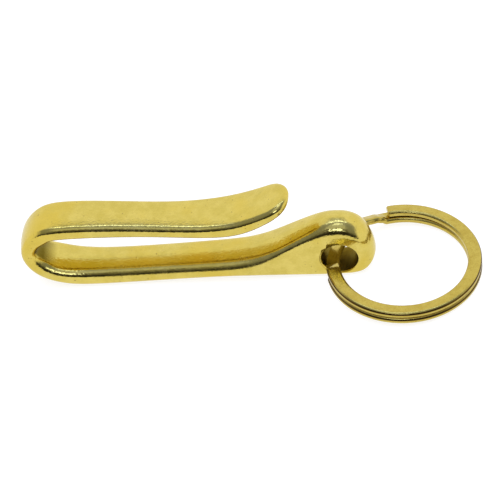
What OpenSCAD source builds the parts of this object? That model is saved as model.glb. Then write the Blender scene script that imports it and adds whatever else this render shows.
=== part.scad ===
// Belt key clip: a cast hook that slides over a belt, and a split key ring held in its eye.
// The clip rests on the plane z = 0. The origin lies under the middle of the eye's hole,
// +X runs towards the ring, +Y across the strap and away from the viewer, +Z up.

/* [Strap] */
// Distance from the axis of the eye's hole to the outside of the bend
hook_reach = 65.5; // [56:0.1:80]
// Thickness of the strap along the back arm
strap_t = 3.6; // [3.2:0.1:4.4]
// Width of the strap at the outermost point of the bend
strap_w = 8.5; // [7:0.1:11]
// Clear height inside the bend between the strap's edges, which takes the belt
slot_gap = 9.6; // [8:0.1:13]
// Rounding of the strap's long edges
strap_round = 1.2; // [0.7:0.05:1.4]
// Height of the crown across each broad face of the strap
strap_crown = 0.45; // [0.2:0.05:0.6]
// Height of the shallow arch under the back arm
base_arch = 0.8; // [0.4:0.1:1.2]
// Rise of the back arm where the bend starts
bend_lift = 0.6; // [0.3:0.05:0.9]
// Depth ground off the base, which gives it flat feet
base_grind = 0.1; // [0.08:0.01:0.15]

/* [Tongue] */
// Distance from the axis of the eye's hole back to the end of the tongue
tongue_end = 8.9; // [7:0.1:14]
// Greatest width of the tongue
tongue_w = 10.2; // [8.6:0.1:12]
// Thickness of the tongue where its end starts to round
tongue_t = 2.7; // [2.2:0.05:3.4]
// Rise of the tongue above the belt slot
tongue_rise = 3.7; // [2.5:0.1:5]
// Dip of the belt arm into the slot, which grips the belt
arm_dip = 0.65; // [0.2:0.05:1.2]
// Length of the rounding at the tongue's end
tip_l = 3.2; // [2.4:0.1:4]

/* [Eye] */
// Width of the eye across its hole
eye_w = 7.4; // [6.5:0.1:9.5]
// Metal under the hole
eye_floor = 1.1; // [1:0.1:2.5]
// Metal over the hole
eye_roof = 4.3; // [3:0.05:5]
// Metal between the hole and the end of the nose
nose_wall = 3.45; // [3:0.05:5]
// Rounding of the eye's upper edges
eye_round = 2.4; // [1.4:0.1:2.6]
// Rounding of the eye's lower edges
base_round = 0.7; // [0.5:0.05:0.9]
// Length of flat base in front of the hole's axis
base_front = 1.2; // [0.8:0.1:2]
// Rounding of the hole's two mouths
rim_ease = 0.4; // [0.3:0.05:0.6]

/* [Ring] */
// Outer diameter of the split ring
ring_od = 32; // [28:1:38]
// Width of the ring's wire, seen from above
wire_w = 2.9; // [2.6:0.1:3.4]
// Thickness of the ring's wire
wire_t = 1.45; // [1.1:0.05:1.6]
// Rounding of the wire's edges
wire_round = 0.3; // [0.15:0.05:0.4]
// Twist of the wire where it passes the eye, in degrees; it lifts the inner edge
wire_twist = 26; // [0:1:30]
// Gap between the two turns of the ring
turn_gap = 0.1; // [0.08:0.01:0.15]
// Distance that the ring has slid through the hole towards the viewer
ring_shift = 3.5; // [2:0.1:4]
// Drop of the wire's middle below the hole's axis
wire_drop = 1.45; // [1.1:0.05:1.7]
// Clearance between the wire's outer corner and the hole's wall
bore_play = 0.15; // [0.1:0.05:0.4]

/* [Hidden] */

// The hole clears the twisted wire's outer lower corner, which swings round its axis
corner_out = wire_w / 2 - wire_round;
corner_down = wire_t / 2 - wire_round;
corner = [wire_w / 2 + corner_out * cos(wire_twist) - corner_down * sin(wire_twist),
          wire_drop + corner_out * sin(wire_twist) + corner_down * cos(wire_twist)];
bore_r = norm(corner) + wire_round + bore_play;
bore_z = eye_floor + bore_r;
eye_h = bore_z + bore_r + eye_roof;
nose_x = bore_r + nose_wall;
// Share of the eye's height at which the nose is longest
nose_share = 0.335;
// Plan rounding of the nose and of the tongue's end, as a share of the half width there
nose_plan_share = 0.92;
tip_plan_share = 0.96;
// Greatest share of a section's height that its crown takes
crown_share = 0.16;
// Greatest share of a section's half height or half width that an edge takes
round_share = 0.96;
overrun = 1;

// Back arm, from the eye to the bend. Shares of the run to the bend, of the swell up to the eye,
// of the base's arch, of the widening to the strap's width and of the eye's extra rounding.
back_shares = [
    [0.000, 1.000, 0.00, 0.00, 1.00],
    [0.068, 0.909, 0.00, 0.16, 0.60],
    [0.187, 0.493, 0.46, 0.72, 0.20],
    [0.318, 0.101, 1.05, 1.69, 0.50],
    [0.525, 0.000, 0.90, 1.39, 0.38],
    [0.847, 0.015, 0.07, 1.20, 0.30]
];
// Bend, from the back arm over to the belt arm. The angle turned, then shares of the slot's
// half height, of the strap's thickness, of the extra width and of the inner edges' extra rounding.
bend_shares = [
    [0, 0.90, 1.01, 2.07, 0.26],
    [47, 0.88, 1.00, 1.64, 0.42],
    [92, 1.18, 0.79, 1.00, 0.85],
    [138, 0.95, 1.02, 1.18, 0.00],
    [185, 0.99, 0.98, 1.75, 0.05]
];
// Belt arm, from the bend to the tongue. Shares of the run, of the dip, of the rise, of the lean,
// of the strap's thickness and of the widening to the tongue.
arm_shares = [
    [0.280, 0.17, 0.00, 0.0, 0.91, 0.30],
    [0.546, 1.15, 0.00, 0.0, 0.87, 0.44],
    [0.805, 0.49, 0.00, 1.0, 0.98, 1.00],
    [1.000, 0.00, 1.00, 1.0, 0.00, 0.62]
];
tongue_lean = 14;
tip_lean = 24;
// Steps between one row and the next, and round the nose and the tongue's end
row_steps = [4, 4, 4, 4, 4, 3, 6, 6, 6, 6, 4, 4, 4, 5];
nose_steps = 9;
tip_steps = 8;
edge_steps = 4;
// Angle of the small flat that closes the nose and the tongue's end
end_angle = 2;

slot_r = slot_gap / 2;
bend_z = bend_lift + bend_shares[0][2] * strap_t + slot_r;
bend_x = bend_shares[2][1] * slot_r + bend_shares[2][2] * strap_t - hook_reach;
slot_top = bend_z + slot_r;
tongue_x = -tongue_end - tip_l * cos(tip_lean);

// A row holds the outer skin's x and z, the inner skin's x and z, the width,
// the inner skin's edge rounding and the outer skin's edge rounding.
function back_row(s) =
    let (base = s[2] * base_arch,
         swell = s[1] * (eye_h + base_grind - strap_t),
         top = base + strap_t + swell,
         x = s[0] * bend_x)
    [x + (s[0] == 0 ? base_front : 0), base, x, top,
     eye_w + s[3] * (strap_w - eye_w),
     strap_round + s[4] * (eye_round - strap_round),
     base_round + s[3] * (strap_round - base_round) / back_shares[5][3]];

function bend_row(s) =
    let (inner = s[1] * slot_r,
         outer = inner + s[2] * strap_t,
         way = [-sin(s[0]), -cos(s[0])])
    [bend_x + outer * way[0], bend_z + outer * way[1],
     bend_x + inner * way[0], bend_z + inner * way[1],
     eye_w + s[3] * (strap_w - eye_w),
     strap_round + s[4] * (eye_round - strap_round), strap_round];

function arm_row(s) =
    let (lean = s[3] * tongue_lean,
         thick = s[4] == 0 ? tongue_t : s[4] * strap_t,
         x = bend_x + s[0] * (tongue_x - bend_x),
         z = slot_top - s[1] * arm_dip + s[2] * tongue_rise)
    [x - thick * sin(lean), z + thick * cos(lean), x, z,
     strap_w + s[5] * (tongue_w - strap_w), strap_round, strap_round];

rows = [
    for (s = back_shares) back_row(s),
    for (s = bend_shares) bend_row(s),
    for (s = arm_shares) arm_row(s)
];

// Smooth curve through rows one step apart: the pull at each row comes from one sweep down the
// rows and one sweep back, and is nothing at both ends.
function bow(list, i) =
    i < len(list) - 1 ? 6 * (list[i + 1] - 2 * list[i] + list[i - 1]) : 0 * list[0];

function sweep_down(list) = [
    for (i = 1, c = 1 / 4, d = bow(list, 1) / 4; i < len(list) - 1;
         i = i + 1, d = (bow(list, i) - d) / (4 - c), c = 1 / (4 - c)) [c, d]
];

function pulls(list) =
    let (down = sweep_down(list), n = len(down),
         back = [for (k = n - 1, m = down[n - 1][1]; k >= 0;
                      k = k - 1, m = k < 0 ? m : down[k][1] - down[k][0] * m) m])
    [0 * list[0], for (k = [n - 1:-1:0]) back[k], 0 * list[0]];

function along(list, pull, i, f) =
    list[i] * (1 - f) + list[i + 1] * f
    + pull[i] * (pow(1 - f, 3) - (1 - f)) / 6 + pull[i + 1] * (pow(f, 3) - f) / 6;

// Loss of half width at a distance from an end that is rounded in plan
function plan_cut(gap, r) = gap >= r ? 0 : r * (1 - sqrt(1 - pow(1 - gap / r, 2)));

first = rows[0];
last = rows[len(rows) - 1];
row_pulls = pulls(rows);
nose_z = nose_share * eye_h;
nose_plan = nose_plan_share * eye_w / 2;
tip_plan = tip_plan_share * last[4] / 2;
tip_way = [cos(tip_lean), sin(tip_lean)];
last_outer = [last[0], last[1]];
last_inner = [last[2], last[3]];
last_mid = (last_outer + last_inner) / 2;
last_half = (last_outer - last_inner) / 2;
tip_point = last_mid + tip_l * tip_way;

// A station holds the outer skin's point, the inner skin's point, the half width and the two roundings
function nose_station(a) =
    let (outer = [base_front + (nose_x - base_front) * cos(a), nose_z * (1 - sin(a))],
         inner = [nose_x * cos(a), nose_z + (first[3] - nose_z) * sin(a)],
         gap = nose_x - (outer[0] + inner[0]) / 2)
    [outer, inner, first[4] / 2 - plan_cut(gap, nose_plan), first[5], first[6]];

function strap_station(i, f) =
    let (r = along(rows, row_pulls, i, f),
         outer = [r[0], r[1]],
         inner = [r[2], r[3]],
         gap = (tip_point - (outer + inner) / 2) * tip_way,
         cut = i < len(rows) - 3 ? 0 : plan_cut(gap, tip_plan))
    [outer, inner, r[4] / 2 - cut, r[5], r[6]];

function tip_station(a) =
    let (mid = last_mid + tip_l * cos(a) * tip_way,
         gap = tip_l * (1 - cos(a)))
    [mid + last_half * sin(a), mid - last_half * sin(a),
     last[4] / 2 - plan_cut(gap, tip_plan), last[5], last[6]];

function end_turn(k, n) = end_angle + (90 - end_angle) * pow(k / n, 1.4);

stations = [
    for (k = [0:nose_steps - 1]) nose_station(end_turn(k, nose_steps)),
    for (i = [0:len(row_steps) - 1], k = [0:row_steps[i] - 1]) strap_station(i, k / row_steps[i]),
    for (k = [tip_steps:-1:0]) tip_station(end_turn(k, tip_steps))
];

// Half outline of a section, from the middle of the outer skin to the middle of the inner skin.
// Each point holds the place across the strap and the depth below the outer skin.
function half_section(h, hw, ri, ro) = [
    [0, 0],
    [(hw - ro) / 2, 0],
    for (k = [0:edge_steps])
        let (a = 90 * k / edge_steps) [hw - ro * (1 - sin(a)), ro * (1 - cos(a))],
    for (k = [0:edge_steps])
        let (a = 90 * k / edge_steps) [hw - ri * (1 - cos(a)), h - ri * (1 - sin(a))],
    [0, h]
];

// Both broad faces carry the crown: the outer face falls away to its edges, the inner face bulges
// between its edges.
function placed(station, side, q, h, way) =
    let (crown = min(strap_crown, crown_share * h),
         out = pow(q[0] / station[2], 2),
         down = q[1] / h,
         deep = q[1] + crown * (out * (1 - down) + (1 - out) * down))
    [station[0][0] + way[0] * deep, side * q[0],
     max(0, station[0][1] + way[1] * deep - base_grind)];

function section(s) =
    let (span = s[1] - s[0],
         h = norm(span),
         way = span / h,
         least = round_share * min(h / 2, s[2]),
         half = half_section(h, s[2], min(s[3], least), min(s[4], least)),
         n = len(half))
    [for (k = [0:n - 1]) placed(s, -1, half[k], h, way),
     for (k = [n - 2:-1:1]) placed(s, 1, half[k], h, way)];

// Skin of a row of equal sections, closed by a flat at each end
function skin_faces(count, size) = [
    for (i = [0:count - 2], j = [0:size - 1])
        let (k = (j + 1) % size, a = i * size, b = a + size)
        each [[a + k, a + j, b + k], [b + k, a + j, b + j]],
    [for (j = [0:size - 1]) j],
    [for (j = [size - 1:-1:0]) (count - 1) * size + j]
];

module loft(sections) {
    polyhedron(
        points = [for (s = sections) each s],
        faces = skin_faces(len(sections), len(sections[0])),
        convexity = 6
    );
}

// Cutter that rounds one mouth of the hole, with the eye's side face at z = 0
module rim_cutter() {
    rotate_extrude($fn = 96)
        difference() {
            translate([bore_r - rim_ease, -rim_ease]) square([2 * rim_ease, rim_ease + overrun]);
            translate([bore_r + rim_ease, -rim_ease]) circle(r = rim_ease, $fn = 48);
        }
}

module belt_hook() {
    color("#d6bf58")
        difference() {
            loft([for (s = stations) section(s)]);
            translate([0, 0, bore_z]) rotate([90, 0, 0]) {
                cylinder(h = eye_w + 2 * overrun, r = bore_r, center = true, $fn = 96);
                for (side = [0, 1])
                    mirror([0, 0, side]) translate([0, 0, eye_w / 2]) rim_cutter();
            }
        }
}

// Ring. The wire's inner edge crosses the hole's axis, and the far edge rests on z = 0.
ring_x = ring_od / 2 - wire_w;
ring_half = wire_t + turn_gap / 2;
rest_arm = [ring_x + ring_od / 2 - wire_round, ring_half + wire_drop - wire_round];
ring_tilt = asin((bore_z - wire_round) / norm(rest_arm)) - atan2(rest_arm[1], rest_arm[0]);

// The wire passes the eye once and lies in two turns elsewhere. It steps down from the upper turn
// just before the eye, arches a little behind it and reaches the lower turn under the upper one's
// end. That end stands open, with its inner edge lifted. Angles run from +X towards +Y.
open_to = 35;
step_from = 192;
step_to = 184;
arch_from = 150;
arch_top = 128;
arch_to = 117;
crimp_from = 112.5;
crimp_to = 107.5;
end_gap_turn = 1.5;
open_rise = 1.4;
open_twist = 0.45;
under_twist = 0.25;
arch_share = 0.5;
turn_level = (wire_t + turn_gap) / 2;

// Angle along the wire, shares of a turn's height and of the twist, and steps up to the next key
wire_keys = [
    [crimp_to - end_gap_turn, open_rise, open_twist, 18],
    [open_to, 1, 0, 36],
    [step_from - 360, 1, 0, 6],
    [step_to - 360, 0, 1, 7],
    [arch_from - 360, 0, 1, 5],
    [arch_top - 360, arch_share, 1, 4],
    [arch_to - 360, 0, 1, 2],
    [crimp_from - 360, -arch_share, 1, 5],
    [crimp_to - 360, -1, under_twist, 16],
    [open_to - 360, -1, 0, 34],
    [step_from + end_gap_turn - 720, -1, 0, 0]
];

function mix(a, b, f) = a + (b - a) * f;
function smooth(f) = (1 - cos(180 * f)) / 2;

// Angle, height and twist along the wire, from the upper turn's end to the lower turn's end
wire_path = [
    for (i = [0:len(wire_keys) - 2], k = [0:wire_keys[i][3] - 1])
        let (f = k / wire_keys[i][3], p = wire_keys[i], q = wire_keys[i + 1])
        [mix(p[0], q[0], f), turn_level * mix(p[1], q[1], smooth(f)),
         wire_twist * mix(p[2], q[2], smooth(f))],
    let (p = wire_keys[len(wire_keys) - 1]) [p[0], turn_level * p[1], wire_twist * p[2]]
];

// Outline of the wire's section, out from the ring's axis and up
wire_outline = [
    for (corner = [0:3], k = [0:3])
        let (a = 90 * corner + 30 * k,
             way = [[1, 1], [-1, 1], [-1, -1], [1, -1]][corner])
        [way[0] * corner_out + wire_round * cos(a), way[1] * corner_down + wire_round * sin(a)]
];

function wire_section(p) = [
    for (q = wire_outline)
        let (r = ring_od / 2 - wire_w / 2 + q[0] * cos(p[2]) + q[1] * sin(p[2]),
             z = p[1] + q[1] * cos(p[2]) - q[0] * sin(p[2]))
        [r * cos(p[0]), r * sin(p[0]), z]
];

module split_ring() {
    color("#cdb552")
        translate([0, 0, bore_z])
            rotate([0, ring_tilt, 0])
                translate([ring_x, -ring_shift, -wire_drop])
                    loft([for (p = wire_path) wire_section(p)]);
}

belt_hook();
split_ring();
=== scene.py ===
"""Belt key clip: a polished cast brass hook for a belt, with a wound brass key ring in its eye.

Sizes of the clip are written in millimetres and turned into metres by MM. The clip lies on z = 0,
with +X from the bend towards the ring and +Z up. The room and its soft box are in metres.
"""

import math

import bmesh
import bpy
import numpy as np
from mathutils import Matrix, Vector


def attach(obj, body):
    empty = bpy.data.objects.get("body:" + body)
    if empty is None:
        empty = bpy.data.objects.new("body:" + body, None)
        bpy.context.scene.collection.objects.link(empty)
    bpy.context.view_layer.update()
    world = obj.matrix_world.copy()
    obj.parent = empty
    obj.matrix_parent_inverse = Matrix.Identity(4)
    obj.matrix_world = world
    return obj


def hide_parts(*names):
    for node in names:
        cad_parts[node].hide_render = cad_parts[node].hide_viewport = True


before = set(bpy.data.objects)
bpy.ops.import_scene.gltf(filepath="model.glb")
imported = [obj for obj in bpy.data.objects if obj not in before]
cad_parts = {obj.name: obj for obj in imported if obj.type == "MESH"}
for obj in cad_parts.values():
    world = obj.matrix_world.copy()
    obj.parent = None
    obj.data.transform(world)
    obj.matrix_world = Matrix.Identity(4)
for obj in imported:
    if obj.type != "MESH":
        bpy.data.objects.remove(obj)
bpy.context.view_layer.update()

MM = 0.001

# Sizes of the hook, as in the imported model
hook_reach = 65.5
strap_t = 3.6
strap_w = 8.5
slot_gap = 9.6
strap_round = 1.2
strap_crown = 0.45
base_arch = 0.8
bend_lift = 0.6
base_grind = 0.1
tongue_end = 8.9
tongue_w = 10.2
tongue_t = 2.7
tongue_rise = 3.7
arm_dip = 0.65
tip_l = 3.2
eye_w = 7.4
eye_floor = 1.1
eye_roof = 4.3
nose_wall = 3.45
eye_round = 2.4
base_round = 0.7
base_front = 1.2
rim_ease = 0.4

# Sizes of the ring
ring_od = 32.0
wire_w = 2.9
wire_t = 1.45
wire_round = 0.3
wire_twist = math.radians(26)
turn_gap = 0.1
ring_shift = 3.5
wire_drop = 1.45
bore_play = 0.15

# The hole clears the twisted wire's outer lower corner
corner_out = wire_w / 2 - wire_round
corner_down = wire_t / 2 - wire_round
corner = (
    wire_w / 2 + corner_out * math.cos(wire_twist) - corner_down * math.sin(wire_twist),
    wire_drop + corner_out * math.sin(wire_twist) + corner_down * math.cos(wire_twist),
)
bore_r = math.hypot(*corner) + wire_round + bore_play
bore_z = eye_floor + bore_r
eye_h = bore_z + bore_r + eye_roof
nose_x = bore_r + nose_wall
slot_r = slot_gap / 2

# Roundings and crowns of the strap, as shares of the sizes above, and leans in degrees
nose_share = 0.335
nose_plan_share = 0.92
tip_plan_share = 0.96
crown_share = 0.16
inner_crown = 1.9
ridge_ease = 0.14
ridge_power = 0.6
round_share = 0.96
tongue_lean = 14
tip_lean = 24

# Back arm from the eye to the bend: run, swell towards the eye's height, lift of the arched base,
# widening from the eye to the strap, and inner rounding from the strap's to the eye's
back_shares = [
    (0.000, 1.000, 0.00, 0.00, 1.00),
    (0.068, 0.909, 0.00, 0.16, 0.60),
    (0.187, 0.493, 0.46, 0.72, 0.20),
    (0.318, 0.101, 1.05, 1.69, 0.50),
    (0.525, 0.000, 0.90, 1.39, 0.38),
    (0.847, 0.015, 0.07, 1.20, 0.30),
]
# Bend from below to above: turn in degrees, inner radius, thickness, widening and inner rounding
bend_shares = [
    (0, 0.90, 1.01, 2.07, 0.26),
    (47, 0.88, 1.00, 1.64, 0.42),
    (92, 1.18, 0.79, 1.00, 0.85),
    (138, 0.95, 1.02, 1.18, 0.00),
    (185, 0.99, 0.98, 1.75, 0.05),
]
# Belt arm from the bend to the tongue: run, dip, rise, lean, thickness, where 0 is the tongue's
# own, and widening from the strap to the tongue
arm_shares = [
    (0.280, 0.17, 0.00, 0.0, 0.91, 0.30),
    (0.546, 1.15, 0.00, 0.0, 0.87, 0.44),
    (0.805, 0.49, 0.00, 1.0, 0.98, 1.00),
    (1.000, 0.00, 1.00, 1.0, 0.00, 0.62),
]
bend_z = bend_lift + bend_shares[0][2] * strap_t + slot_r
bend_x = bend_shares[2][1] * slot_r + bend_shares[2][2] * strap_t - hook_reach
slot_top = bend_z + slot_r
tongue_x = -tongue_end - tip_l * math.cos(math.radians(tip_lean))

# Fineness of the skins: steps between the rows above, round the nose, the tip, the edges and the hole
row_steps = (16, 14, 16, 16, 20, 16, 26, 26, 26, 26, 16, 18, 18, 18)
tongue_rows = 3
nose_steps = 44
tip_steps = 36
edge_steps = 9
flat_steps = 9
flank_steps = 8
bore_steps = 160
mouth_steps = 12

# Steps round the nose and the tip stand closer together at the very end
cap_start = 0.004
cap_power = 1.3

# The hole's cutter stands out this far on both sides
cutter_spare = 2


# Meshes


def new_object(name, data):
    """Object at the origin, in the scene."""
    piece = bpy.data.objects.new(name, data)
    bpy.context.scene.collection.objects.link(piece)
    return piece


def face_out(mesh):
    """Turns a closed mesh's faces outwards."""
    work = bmesh.new()
    work.from_mesh(mesh)
    bmesh.ops.recalc_face_normals(work, faces=work.faces)
    work.to_mesh(mesh)
    work.free()


def plain(piece):
    """Turns a piece and its modifiers into one plain mesh."""
    graph = bpy.context.evaluated_depsgraph_get()
    graph.update()
    mesh = bpy.data.meshes.new_from_object(piece.evaluated_get(graph), depsgraph=graph)
    mesh.name = piece.name
    piece.modifiers.clear()
    piece.data = mesh


def loft(name, sections):
    """Closed skin over a row of equal sections."""
    size, count = len(sections[0]), len(sections)
    faces = []
    for i in range(count - 1):
        a, b = i * size, (i + 1) * size
        for j in range(size):
            k = (j + 1) % size
            faces.append((a + j, a + k, b + k, b + j))
    faces.append(tuple(range(size - 1, -1, -1)))
    faces.append(tuple((count - 1) * size + j for j in range(size)))
    mesh = bpy.data.meshes.new(name)
    mesh.from_pydata((np.concatenate(sections) * MM).tolist(), [], faces)
    mesh.validate()
    face_out(mesh)
    return new_object(name, mesh)


# Hook: a lofted strap. A row, and a station after it, holds an outer point, an inner point,
# a width, an inner rounding and an outer rounding.


def back_row(share):
    run, swell, arch, widening, rounding = share
    base = arch * base_arch
    top = base + strap_t + swell * (eye_h + base_grind - strap_t)
    x = run * bend_x
    front = base_front if run == 0 else 0
    return [
        x + front, base, x, top,
        eye_w + widening * (strap_w - eye_w),
        strap_round + rounding * (eye_round - strap_round),
        base_round + widening * (strap_round - base_round) / back_shares[-1][3],
    ]


def bend_row(share):
    turn, inside, thick, widening, rounding = share
    inner = inside * slot_r
    outer = inner + thick * strap_t
    way = (-math.sin(math.radians(turn)), -math.cos(math.radians(turn)))
    return [
        bend_x + outer * way[0], bend_z + outer * way[1],
        bend_x + inner * way[0], bend_z + inner * way[1],
        eye_w + widening * (strap_w - eye_w),
        strap_round + rounding * (eye_round - strap_round), strap_round,
    ]


def arm_row(share):
    run, dip, rise, lean, thick, widening = share
    angle = math.radians(lean * tongue_lean)
    depth = thick * strap_t if thick else tongue_t
    x = bend_x + run * (tongue_x - bend_x)
    z = slot_top - dip * arm_dip + rise * tongue_rise
    return [
        x - depth * math.sin(angle), z + depth * math.cos(angle), x, z,
        strap_w + widening * (tongue_w - strap_w), strap_round, strap_round,
    ]


def smooth_rows(rows, steps):
    """Points of the smooth curve through rows one step apart, which runs straight at both ends."""
    count = len(rows)
    pull = np.zeros_like(rows)
    spread = np.diag(np.full(count - 2, 4.0)) + np.eye(count - 2, k=1) + np.eye(count - 2, k=-1)
    pull[1:-1] = np.linalg.solve(spread, 6 * (rows[2:] - 2 * rows[1:-1] + rows[:-2]))
    points = []
    for i, parts in enumerate(steps):
        for f in np.arange(parts) / parts:
            points.append(
                rows[i] * (1 - f) + rows[i + 1] * f
                + pull[i] * ((1 - f) ** 3 - (1 - f)) / 6
                + pull[i + 1] * (f**3 - f) / 6
            )
    return points


def plan_cut(gap, radius):
    """Loss of half width at a distance from an end that is rounded in plan."""
    if gap >= radius:
        return 0.0
    return radius * (1 - math.sqrt(max(0.0, 1 - (1 - gap / radius) ** 2)))


def cap_angle(k, steps):
    """Angle of a step round an end, from its foremost point to the full section."""
    return math.pi / 2 * (cap_start + (1 - cap_start) * (k / steps) ** cap_power)


def nose_stations(row):
    """Stations round the eye's nose, up to its full section."""
    nose_z = nose_share * eye_h
    plan = nose_plan_share * eye_w / 2
    stations = []
    for k in range(nose_steps):
        a = cap_angle(k, nose_steps)
        outer = np.array([base_front + (nose_x - base_front) * math.cos(a), nose_z * (1 - math.sin(a))])
        inner = np.array([nose_x * math.cos(a), nose_z + (row[3] - nose_z) * math.sin(a)])
        gap = nose_x - (outer[0] + inner[0]) / 2
        stations.append((outer, inner, row[4] / 2 - plan_cut(gap, plan), row[5], row[6]))
    return stations


def strap_stations():
    """Stations along the whole strap, each with half its width."""
    rows = np.array(
        [back_row(s) for s in back_shares]
        + [bend_row(s) for s in bend_shares]
        + [arm_row(s) for s in arm_shares]
    )
    last = rows[-1]
    plan = tip_plan_share * last[4] / 2
    way = np.array([math.cos(math.radians(tip_lean)), math.sin(math.radians(tip_lean))])
    middle = (last[0:2] + last[2:4]) / 2
    half = (last[0:2] - last[2:4]) / 2
    tip = middle + tip_l * way
    stations = nose_stations(rows[0])
    tongue_from = sum(row_steps[:-tongue_rows])
    for n, row in enumerate(smooth_rows(rows, row_steps)):
        outer, inner = row[0:2], row[2:4]
        gap = float((tip - (outer + inner) / 2) @ way)
        loss = plan_cut(gap, plan) if n >= tongue_from else 0.0
        stations.append((outer, inner, row[4] / 2 - loss, row[5], row[6]))
    for k in range(tip_steps, -1, -1):
        a = cap_angle(k, tip_steps)
        centre = middle + tip_l * math.cos(a) * way
        width = last[4] / 2 - plan_cut(tip_l * (1 - math.cos(a)), plan)
        stations.append((centre + half * math.sin(a), centre - half * math.sin(a), width, last[5], last[6]))
    return stations


def half_section(thick, half_w, inner_round, outer_round):
    """Half outline of a section, from the middle of the outer skin to the middle of the inner one."""
    turn = np.linspace(0, math.pi / 2, edge_steps + 1)
    flat = np.arange(flat_steps) / flat_steps
    side = np.arange(1, flank_steps) / flank_steps
    y = np.concatenate([
        (half_w - outer_round) * flat,
        half_w - outer_round * (1 - np.sin(turn)),
        np.full(len(side), half_w),
        half_w - inner_round * (1 - np.cos(turn)),
        (half_w - inner_round) * (1 - flat[1:]),
        [0],
    ])
    depth = np.concatenate([
        np.zeros(flat_steps),
        outer_round * (1 - np.cos(turn)),
        outer_round + (thick - inner_round - outer_round) * side,
        thick - inner_round * (1 - np.sin(turn)),
        np.full(flat_steps, thick),
    ])
    return y, depth


def section(station):
    """Ring of points of one section, with its two crowned faces."""
    outer, inner, half_w, inner_round, outer_round = station
    span = inner - outer
    thick = float(np.hypot(*span))
    way = span / thick
    most = round_share * min(thick / 2, half_w)
    y, depth = half_section(thick, half_w, min(inner_round, most), min(outer_round, most))
    crown = min(strap_crown, crown_share * thick)
    out, down = y / half_w, depth / thick
    slope = (out**2 + ridge_ease**2) ** ridge_power
    depth = depth + crown * (out**2 * (1 - down) + inner_crown * (1 - slope) * down)
    x = outer[0] + way[0] * depth
    z = np.maximum(0, outer[1] + way[1] * depth - base_grind)
    near = np.stack([x, -y, z], 1)
    far = np.stack([x, y, z], 1)
    return np.concatenate([near, far[-2:0:-1]])


def bore_cutter():
    """Turned cutter along Y: the eye's hole with a rounding at each mouth."""
    face = eye_w / 2
    mouth = [
        (bore_r + rim_ease * (1 - math.cos(a)), face - rim_ease * (1 - math.sin(a)))
        for a in np.linspace(0, math.pi / 2, mouth_steps)
    ]
    profile = [(r, -y) for r, y in reversed(mouth)] + mouth
    ends = [(profile[k][0], side * (face + cutter_spare)) for k, side in ((0, -1), (-1, 1))]
    turn = 2 * math.pi * np.arange(bore_steps) / bore_steps
    rings = [
        np.stack([r * np.cos(turn), np.full(bore_steps, y), bore_z + r * np.sin(turn)], 1)
        for r, y in [ends[0], *profile, ends[1]]
    ]
    return loft("bore_cutter", rings)


def make_hook(material):
    hook = loft("cast_hook", [section(s) for s in strap_stations()])
    cutter = bore_cutter()
    bore = hook.modifiers.new("bore", "BOOLEAN")
    bore.operation = "DIFFERENCE"
    bore.solver = "EXACT"
    bore.object = cutter
    plain(hook)
    bpy.data.objects.remove(cutter)
    hook.data.materials.clear()
    hook.data.materials.append(material)
    hook.data.shade_smooth()
    return hook


# Nodes


class Nodes:
    """Lays out one node tree: a shape, a finish or the light of the room."""

    def __init__(self, tree):
        self.tree = tree

    def fill(self, socket, value):
        """Links a socket to an output, or sets it to a value."""
        if isinstance(value, bpy.types.NodeSocket):
            self.tree.links.new(value, socket)
        elif socket.type == "RGBA":
            socket.default_value = (*value, 1.0)
        else:
            socket.default_value = value

    def node(self, kind, inputs=(), **settings):
        node = self.tree.nodes.new(kind)
        for key, value in settings.items():
            setattr(node, key, value)
        for key, value in dict(inputs).items():
            self.fill(node.inputs[key], value)
        return node

    def calc(self, operation, a, b=0.0):
        return self.node("ShaderNodeMath", {0: a, 1: b}, operation=operation).outputs[0]

    def product(self, first, *others):
        for other in others:
            first = self.calc("MULTIPLY", first, other)
        return first

    def add_share(self, base, share, amount):
        """Base plus a share of an amount."""
        return self.calc("ADD", base, self.calc("MULTIPLY", share, amount))

    def distance(self, across, up):
        """Length of the slope over two legs."""
        squares = [self.calc("POWER", leg, 2.0) for leg in (across, up)]
        return self.calc("SQRT", self.calc("ADD", *squares))

    def vector(self, x=0.0, y=0.0, z=0.0):
        return self.node("ShaderNodeCombineXYZ", {0: x, 1: y, 2: z}).outputs[0]

    def spread(self, value, low, high, to_low=0.0, to_high=1.0, **settings):
        """Value between low and high, spread over to_low and to_high."""
        inputs = {"Value": value, "From Min": low, "From Max": high, "To Min": to_low, "To Max": to_high}
        return self.node("ShaderNodeMapRange", inputs, **settings).outputs["Result"]

    def ease(self, value, low, high, to_high=1.0):
        """Value between low and high, eased from nothing to to_high."""
        return self.spread(value, low, high, 0.0, to_high, interpolation_type="SMOOTHSTEP")

    def mix(self, share, first, second):
        """Colour between two colours."""
        inputs = {"Factor": share, 6: first, 7: second}
        return self.node("ShaderNodeMix", inputs, data_type="RGBA").outputs[2]


# Ring: one wire wound by a node tree

ring_x = ring_od / 2 - wire_w
rest_arm = (ring_x + ring_od / 2 - wire_round, wire_t + turn_gap / 2 + wire_drop - wire_round)
ring_slope = math.atan2(rest_arm[1], rest_arm[0])
ring_tilt = math.asin((bore_z - wire_round) / math.hypot(*rest_arm)) - ring_slope

# Angle along the wire in degrees, shares of a turn's height and of the twist, from the upper end
# to the lower end. The upper end stands open, with its inner edge lifted.
wire_keys = [
    (106, 1.4, 0.45), (35, 1, 0), (-168, 1, 0), (-176, 0, 1), (-210, 0, 1), (-232, 0.5, 1),
    (-243, 0, 1), (-247.5, -0.5, 1), (-252.5, -1, 0.25), (-325, -1, 0), (-526.5, -1, 0),
]
wire_points = 800
edge_points = 8
end_pull = 0.11
edge_wear = 0.32
end_round = 0.5
end_shrink = 0.25
# Sharpness of the painted dark line of shade and reflection along the wire's upper outer edge
edge_shade_power = 6.0

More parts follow.
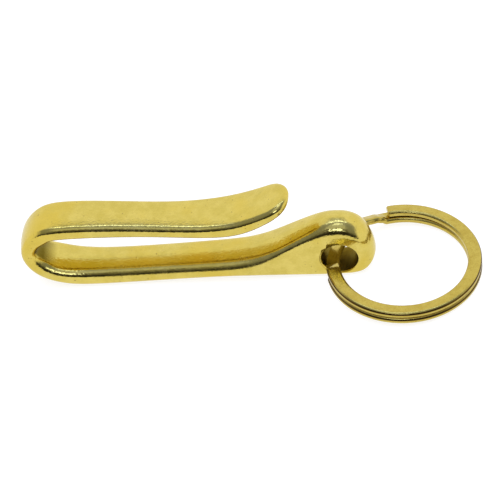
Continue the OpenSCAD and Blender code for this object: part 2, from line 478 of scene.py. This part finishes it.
# Inputs of the node tree, in metres and radians
wire_inputs = {
    "Outer Diameter": ring_od * MM,
    "Wire Width": wire_w * MM,
    "Wire Thickness": wire_t * MM,
    "Edge Rounding": (wire_round + edge_wear) * MM,
    "End Rounding": end_round * MM,
    "Turn Gap": turn_gap * MM,
    "Twist": wire_twist,
    "Drop": wire_drop * MM,
    "Shift": ring_shift * MM,
    "Tilt": ring_tilt,
    "Hole Height": bore_z * MM,
}


def keyed(tree, angle, column):
    """Value of a column of wire_keys, eased from key to key along the wire's angle."""
    total = wire_keys[0][column]
    for key, after in zip(wire_keys, wire_keys[1:]):
        step = after[column] - key[column]
        if step:
            eased = tree.ease(angle, math.radians(key[0]), math.radians(after[0]), step)
            total = tree.calc("ADD", eased, total)
    return total


def wire_path(tree, given):
    """Path of the wound wire, with its twist, level and round the ring's own middle."""
    start, end = math.radians(wire_keys[0][0]), math.radians(wire_keys[-1][0])
    line = tree.node("GeometryNodeCurvePrimitiveLine").outputs[0]
    path = tree.node("GeometryNodeResampleCurve", {"Curve": line, "Count": wire_points}).outputs[0]
    # Points stand closer together towards both ends
    even = tree.node("GeometryNodeSplineParameter").outputs["Factor"]
    pull = tree.calc("SINE", tree.calc("MULTIPLY", even, 2 * math.pi))
    along = tree.calc("SUBTRACT", even, tree.calc("MULTIPLY", pull, end_pull))
    angle = tree.calc("ADD", tree.calc("MULTIPLY", along, end - start), start)
    height, twist = (keyed(tree, angle, column) for column in (1, 2))
    pitch = tree.calc("MULTIPLY", tree.calc("ADD", given["Wire Thickness"], given["Turn Gap"]), 0.5)
    radius = tree.calc("MULTIPLY", tree.calc("SUBTRACT", given["Outer Diameter"], given["Wire Width"]), 0.5)
    place = tree.vector(
        tree.product(radius, tree.calc("COSINE", angle)),
        tree.product(radius, tree.calc("SINE", angle)),
        tree.product(height, pitch),
    )
    tilt = tree.product(twist, tree.product(given["Twist"], -1.0))
    path = tree.node("GeometryNodeSetCurveTilt", {"Curve": path, "Tilt": tilt}).outputs[0]
    path = tree.node("GeometryNodeSetPosition", {"Geometry": path, "Position": place}).outputs[0]
    return tree.node("GeometryNodeSetCurveNormal", {"Curve": path}, mode="Z_UP").outputs[0]


def wire_shrink(tree, given):
    """Size of the section along the wire, a little smaller over the end rounding."""
    run = tree.node("GeometryNodeSplineParameter").outputs["Length"]
    whole = tree.node("GeometryNodeSplineLength").outputs["Length"]
    left = tree.calc("MINIMUM", run, tree.calc("SUBTRACT", whole, run))
    near = tree.calc("SUBTRACT", 1.0, tree.calc("DIVIDE", left, given["End Rounding"]))
    near = tree.calc("MINIMUM", tree.calc("MAXIMUM", near, 0.0), 1.0)
    full = tree.calc("SQRT", tree.calc("SUBTRACT", 1.0, tree.calc("MULTIPLY", near, near)))
    return tree.calc("ADD", tree.calc("MULTIPLY", full, end_shrink), 1.0 - end_shrink)


def wire_outline(tree, given):
    """Rounded rectangular section, whose upper outer edge is marked for a painted dark line of shade and
    reflection.
    """
    sides = {"Width": given["Wire Width"], "Height": given["Wire Thickness"]}
    outline = tree.node("GeometryNodeCurvePrimitiveQuadrilateral", sides).outputs[0]
    outline = tree.node(
        "GeometryNodeFilletCurve",
        {"Curve": outline, "Radius": given["Edge Rounding"], "Count": edge_points},
        mode="POLY",
    ).outputs[0]
    outline = tree.node("GeometryNodeSubdivideCurve", {"Curve": outline, "Cuts": 1}).outputs[0]
    spot = tree.node("ShaderNodeSeparateXYZ", {0: tree.node("GeometryNodeInputPosition").outputs[0]}).outputs
    # How deep a point lies in the edge's rounding, outwards and upwards
    deep = []
    for axis, whole in ((0, "Wire Width"), (1, "Wire Thickness")):
        side = tree.calc("MULTIPLY", spot[axis], -1.0)
        flat = tree.calc("SUBTRACT", tree.calc("MULTIPLY", given[whole], 0.5), given["Edge Rounding"])
        past = tree.calc("DIVIDE", tree.calc("SUBTRACT", side, flat), given["Edge Rounding"])
        deep.append(tree.calc("MAXIMUM", past, 0.0))
    edge_shade = tree.product(tree.calc("POWER", deep[0], edge_shade_power), deep[1])
    return tree.node(
        "GeometryNodeStoreNamedAttribute",
        {"Geometry": outline, "Name": "edge_shade_line", "Value": edge_shade},
        data_type="FLOAT", domain="POINT",
    ).outputs[0]


def wire_tree(material):
    """Node tree that winds the wire, and the identifiers of its inputs by name."""
    group = bpy.data.node_groups.new("wound_wire", "GeometryNodeTree")
    sockets = {}
    for name, size in wire_inputs.items():
        socket = group.interface.new_socket(name, in_out="INPUT", socket_type="NodeSocketFloat")
        socket.default_value = size
        sockets[name] = socket.identifier
    group.interface.new_socket("Geometry", in_out="OUTPUT", socket_type="NodeSocketGeometry")
    tree = Nodes(group)
    given = tree.node("NodeGroupInput").outputs
    skin = tree.node("GeometryNodeCurveToMesh", {
        "Curve": wire_path(tree, given),
        "Profile Curve": wire_outline(tree, given),
        "Scale": wire_shrink(tree, given),
        "Fill Caps": True,
    }).outputs[0]
    centre = tree.calc("SUBTRACT", tree.calc("MULTIPLY", given["Outer Diameter"], 0.5), given["Wire Width"])
    offset = tree.vector(centre, tree.product(given["Shift"], -1.0), tree.product(given["Drop"], -1.0))
    skin = tree.node("GeometryNodeTransform", {"Geometry": skin, "Translation": offset}).outputs[0]
    lift = tree.vector(z=given["Hole Height"])
    turn = tree.vector(y=given["Tilt"])
    skin = tree.node(
        "GeometryNodeTransform", {"Geometry": skin, "Translation": lift, "Rotation": turn}
    ).outputs[0]
    skin = tree.node("GeometryNodeRealizeInstances", {"Geometry": skin}).outputs[0]
    skin = tree.node("GeometryNodeSetMaterial", {"Geometry": skin, "Material": material}).outputs[0]
    tree.node("NodeGroupOutput", {0: skin})
    return group, sockets


def make_ring(material):
    ring = new_object("wound_ring", bpy.data.meshes.new("wound_ring"))
    group, sockets = wire_tree(material)
    winding = ring.modifiers.new("winding", "NODES")
    winding.node_group = group
    for name, size in wire_inputs.items():
        winding[sockets[name]] = size
    plain(ring)
    face_out(ring.data)
    ring.data.shade_smooth()
    return ring


# Materials

cast_light = (0.74, 0.60, 0.15)
cast_deep = (0.65, 0.52, 0.11)
cast_warm = (0.72, 0.53, 0.07)
cast_speck = (0.60, 0.44, 0.11)
cast_pit = (0.34, 0.23, 0.05)
# Painted shade in the hole: the colour of its wall, and a dark tint on the wall's reflections
hole_shade_colour = (0.05, 0.022, 0.002)
hole_shade_glance = (0.10, 0.05, 0.01)
clear_glance = (1.0, 1.0, 1.0)
# Painted shade inside the bend
bend_shade_colour = (0.14, 0.10, 0.004)
wire_light = (0.61, 0.48, 0.105)
wire_deep = (0.54, 0.41, 0.08)
wire_speck = (0.44, 0.31, 0.05)
# Painted shade and painted dark reflection along the wire's upper outer edge
edge_shade_colour = (0.06, 0.025, 0.003)

# Where the hook's finish and painted shade change, in millimetres from where a change starts to where it is
# full:
# the hole's wall, which has painted shade, by its distance from the hole's axis, the inside of the back arm
# by x and z, and the painted shade inside the bend by its distance from the bend's axis, x from there and y
hole_wall = (bore_r + 0.03, bore_r - 0.02)
arm_from_bend = (-51, -46)
arm_from_eye = (-10, -14)
arm_below = (8, 6)
bend_within = (6.4, 5.8)
bend_behind = (-1.4, -4.0)
bend_middle = (3.2, 2.6)

# How much those places are rougher than the rest, and the share of the painted shade inside the bend
hole_dull = 0.40
arm_dull = 0.09
bend_dull = 0.15
bend_shade_share = 0.92


class Finish(Nodes):
    """Nodes of one material."""

    def __init__(self, name):
        self.material = bpy.data.materials.new(name)
        self.material.use_nodes = True
        super().__init__(self.material.node_tree)
        self.shader = self.tree.nodes["Principled BSDF"]
        self.place = self.node("ShaderNodeTexCoord").outputs["Object"]

    def noise(self, size_mm, detail=3.0, rough=0.55):
        """Noise whose blotches are about size_mm across."""
        inputs = {"Vector": self.place, "Scale": 1 / (size_mm * MM), "Detail": detail, "Roughness": rough}
        return self.node("ShaderNodeTexNoise", inputs).outputs["Fac"]

    def within(self, value, change):
        """1 where a change in millimetres is full, and 0 before it starts."""
        start, full = change
        return self.spread(value, start * MM, full * MM)

    def bump(self, height, depth_mm, below=None):
        inputs = {"Height": height, "Distance": depth_mm * MM, "Strength": 1.0}
        if below is not None:
            inputs["Normal"] = below
        return self.node("ShaderNodeBump", inputs).outputs["Normal"]

    def set(self, **inputs):
        for key, value in inputs.items():
            self.fill(self.shader.inputs[key.replace("_", " ")], value)
        return self.material


def cast_brass():
    """Polished cast brass: faint blotches, a fine grain, a few tiny pits, a dull hole whose wall has painted
    shade, and painted shade inside the bend.
    """
    f = Finish("cast_brass")
    blotches = f.spread(f.noise(3.0, detail=5.0, rough=0.7), 0.38, 0.62)
    colour = f.mix(blotches, cast_light, cast_deep)
    warm = f.spread(f.noise(11.0, rough=0.6), 0.46, 0.66, to_high=0.6)
    colour = f.mix(warm, colour, cast_warm)
    specks = f.spread(f.noise(0.55, rough=0.7), 0.56, 0.70, to_high=0.35)
    colour = f.mix(specks, colour, cast_speck)
    pits = f.spread(f.noise(0.45, detail=0.0), 0.82, 0.85)
    colour = f.mix(pits, colour, cast_pit)
    normal = f.bump(f.noise(2.6, detail=1.0), 0.010)
    normal = f.bump(f.noise(0.5, detail=2.0, rough=0.5), 0.034, normal)
    normal = f.bump(f.spread(pits, 0.0, 1.0, 1.0, 0.0), 0.02, normal)
    rough = f.spread(f.noise(1.2, detail=4.0, rough=0.6), 0.3, 0.7, 0.10, 0.19)

    # The hole's wall is dull and painted dark as shade, and its reflections get a dark tint as painted shade
    # too
    x, y, z = f.node("ShaderNodeSeparateXYZ", {0: f.place}).outputs
    hole = f.within(f.distance(x, f.calc("SUBTRACT", z, bore_z * MM)), hole_wall)
    colour = f.mix(hole, colour, hole_shade_colour)
    rough = f.add_share(rough, hole, hole_dull)
    glance = f.mix(hole, clear_glance, hole_shade_glance)

    # The inside of the back arm is hard to reach with a buff
    low = f.product(f.within(x, arm_from_bend), f.within(x, arm_from_eye), f.within(z, arm_below))
    rough = f.add_share(rough, low, arm_dull)

    # So is the inside of the bend, which is also painted dark as shade
    out, up = f.calc("SUBTRACT", x, bend_x * MM), f.calc("SUBTRACT", z, bend_z * MM)
    skin = f.product(
        f.within(f.distance(out, up), bend_within),
        f.within(out, bend_behind),
        f.within(f.calc("ABSOLUTE", y), bend_middle),
    )
    colour = f.mix(f.calc("MULTIPLY", skin, bend_shade_share), colour, bend_shade_colour)
    rough = f.add_share(rough, skin, bend_dull)
    return f.set(Base_Color=colour, Metallic=1.0, Roughness=rough, Normal=normal, Specular_Tint=glance)


def wire_brass():
    """Flat brass wire of the key ring, a little duller, with a fine grain and a painted dark line of shade
    and reflection along one edge.
    """
    f = Finish("wire_brass")
    blotches = f.spread(f.noise(2.0, detail=4.0, rough=0.65), 0.38, 0.62)
    colour = f.mix(blotches, wire_light, wire_deep)
    specks = f.spread(f.noise(0.5, rough=0.7), 0.54, 0.70, to_high=0.4)
    colour = f.mix(specks, colour, wire_speck)
    # A dark line along the upper outer edge of each turn is painted shade and painted dark reflection
    edge = f.node("ShaderNodeAttribute", attribute_name="edge_shade_line").outputs["Fac"]
    edge_shade = f.spread(edge, 0.05, 0.13, to_high=0.94)
    colour = f.mix(edge_shade, colour, edge_shade_colour)
    normal = f.bump(f.noise(0.6, detail=5.0, rough=0.65), 0.020)
    rough = f.spread(f.noise(0.8), 0.3, 0.7, 0.14, 0.24)
    return f.set(Base_Color=colour, Metallic=1.0, Roughness=rough, Normal=normal)


def pale_floor():
    """Milky table lit from below, on which the clip casts next to no shadow."""
    return Finish("pale_floor").set(
        Base_Color=(0.35, 0.35, 0.35), Roughness=0.9, Emission_Color=(1.0, 1.0, 1.0), Emission_Strength=0.80
    )


# Stage: floor, light and camera

floor_half = 3.0
floor_drop = 0.00002

# Light of the room by angle, in degrees from straight up towards the camera's side, and how cool
# it is: the pale room, a narrow lamp, a dim cool stretch, a grey one, a dark one down to the
# horizon, and the pale room below
lamp_side = (
    (-45, 1.0, 0.0), (-33, 1.0, 0.0), (-27, 0.45, 0.3), (-20, 0.6, 0.8), (-18, 2.2, 1.0),
    (-12, 2.2, 1.0), (-9, 0.35, 1.0), (0, 0.32, 0.9), (10, 0.40, 0.8), (22, 0.55, 0.6),
    (36, 0.66, 0.5), (41, 0.20, 0.3), (46, 0.15, 0.0), (57, 0.13, 0.0), (64, 0.03, 0.0),
    (86, 0.012, 0.0), (92, 1.0, 0.0), (120, 1.0, 0.0),
)
# The same off to the sides, where there is no lamp
plain_side = (
    (-45, 1.0, 0.0), (-30, 1.0, 0.0), (-14, 0.45, 0.5), (0, 0.30, 0.7), (30, 0.28, 0.6),
    (55, 0.24, 0.4), (70, 0.06, 0.2), (86, 0.012, 0.0), (92, 1.0, 0.0), (120, 1.0, 0.0),
)
cool_light = (1.0, 1.17, 2.0)
room_top = 8.0
room_light = 1.0
seen_light = 1.05

# Where the lamp's side gives way to the plain side, and that to the pale room, by the sideways
# part of a direction
lamp_ends = (0.30, 0.50)
plain_ends = (0.75, 0.95)

# The small lamps' distance from the eye, and how far they stand to the right
lamp_reach = 150
lamp_aside = 0.02

# Camera, far off with a long lens: its turns in degrees, the point that it looks at, sideways and
# up in its own view, and its distance in metres
camera_yaw = 9.061
camera_climb = 44.363
camera_roll = -8.542
camera_aim = (-19.072, 2.630)
camera_distance = 2.5
reach_px = 12197.0
image_px = 500


def make_floor():
    signs = ((-1, -1), (1, -1), (1, 1), (-1, 1))
    corners = [(floor_half * x, floor_half * y, -floor_drop) for x, y in signs]
    mesh = bpy.data.meshes.new("floor")
    mesh.from_pydata(corners, [], [(0, 1, 2, 3)])
    mesh.materials.append(pale_floor())
    floor = new_object("floor", mesh)
    floor.visible_glossy = False


def room_colour(light, cool=0.0):
    """Colour of a light in the room, as a share of the brightest one there can be."""
    return tuple(light * (1 + cool * (c - 1)) / room_top for c in cool_light)


def room_ramp(room, angle, stops):
    """Light of the room by angle."""
    low, high = stops[0][0], stops[-1][0]
    share = room.calc("DIVIDE", room.calc("SUBTRACT", angle, low), high - low)
    node = room.node("ShaderNodeValToRGB", {0: share})
    elements = node.color_ramp.elements
    for stop, (_, light, cool) in zip(elements, (stops[0], stops[-1])):
        stop.color = (*room_colour(light, cool), 1.0)
    for place, light, cool in stops[1:-1]:
        stop = elements.new((place - low) / (high - low))
        stop.color = (*room_colour(light, cool), 1.0)
    return node.outputs[0]


def studio_room():
    """Pale studio all round, with dim stretches and lamps on the camera's side."""
    world = bpy.data.worlds.new("studio_room")
    bpy.context.scene.world = world
    world.use_nodes = True
    room = Nodes(world.node_tree)
    back = world.node_tree.nodes["Background"]
    way = room.node("ShaderNodeTexCoord").outputs["Generated"]
    x, y, z = room.node("ShaderNodeSeparateXYZ", {0: way}).outputs
    angle = room.calc("MULTIPLY", room.calc("ARCTAN2", room.calc("MULTIPLY", y, -1.0), z), 180 / math.pi)
    aside = room.calc("ABSOLUTE", x)
    sides = [room_ramp(room, angle, stops) for stops in (lamp_side, plain_side)]
    light = room.mix(room.ease(aside, *lamp_ends), *sides)
    light = room.mix(room.ease(aside, *plain_ends), light, room_colour(room_light))
    seen = room.node("ShaderNodeLightPath").outputs["Is Camera Ray"]
    room.fill(back.inputs["Color"], room.mix(seen, light, room_colour(seen_light)))
    room.fill(back.inputs["Strength"], room_top)


def area_lamp(name, place, back, size, power):
    """Rectangular light at a place, with its back towards a direction."""
    light = bpy.data.lights.new(name, "AREA")
    light.shape = "RECTANGLE"
    light.size, light.size_y = size
    light.energy = power
    lamp = new_object(name, light)
    lamp.location = place
    lamp.rotation_euler = back.to_track_quat("Z", "Y").to_euler()
    return lamp


def soft_box(name, place, size, power):
    """Large soft light over the floor, left out of the brass's reflections."""
    lamp = area_lamp(name, place, Vector(place), (size, size), power)
    lamp.visible_glossy = False


def near_lamp(name, lean, width, depth, light):
    """Small cool lamp close over the eye, by its angle from straight up towards the camera."""
    way = Vector((lamp_aside, -math.sin(math.radians(lean)), math.cos(math.radians(lean))))
    place = Vector((0, -eye_w / 2 * MM, eye_h * MM)) + way * lamp_reach * MM
    size = (width * MM, depth * MM)
    lamp = area_lamp(name, place, way, size, light * math.pi * size[0] * size[1])
    lamp.data.color = [c / max(cool_light) for c in cool_light]
    lamp.visible_camera = False


def make_camera():
    """Camera at the photograph's viewing angle."""
    turn = (
        Matrix.Rotation(math.radians(camera_yaw), 4, "Z")
        @ Matrix.Rotation(math.radians(90 - camera_climb), 4, "X")
        @ Matrix.Rotation(math.radians(camera_roll), 4, "Z")
    )
    data = bpy.data.cameras.new("camera")
    data.sensor_width = 36.0
    data.lens = data.sensor_width * reach_px / image_px
    data.clip_start, data.clip_end = 0.1, 20.0
    camera = new_object("camera", data)
    aim = [part * MM for part in camera_aim]
    camera.matrix_world = turn @ Matrix.Translation((*aim, camera_distance))
    bpy.context.scene.camera = camera


def set_stage():
    make_floor()
    studio_room()
    soft_box("overhead_box", place=(0.0, -0.1, 1.2), size=1.6, power=10)
    near_lamp("high_lamp", lean=8, width=60, depth=40, light=1.9)
    near_lamp("low_lamp", lean=50, width=60, depth=27, light=5.0)
    make_camera()
    view = bpy.context.scene.view_settings
    view.view_transform = "Standard"
    view.look = "None"


hook = make_hook(cast_brass())
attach(hook, "hook")
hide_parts("belt_hook")

ring = make_ring(wire_brass())
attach(ring, "ring")
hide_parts("split_ring")

set_stage()
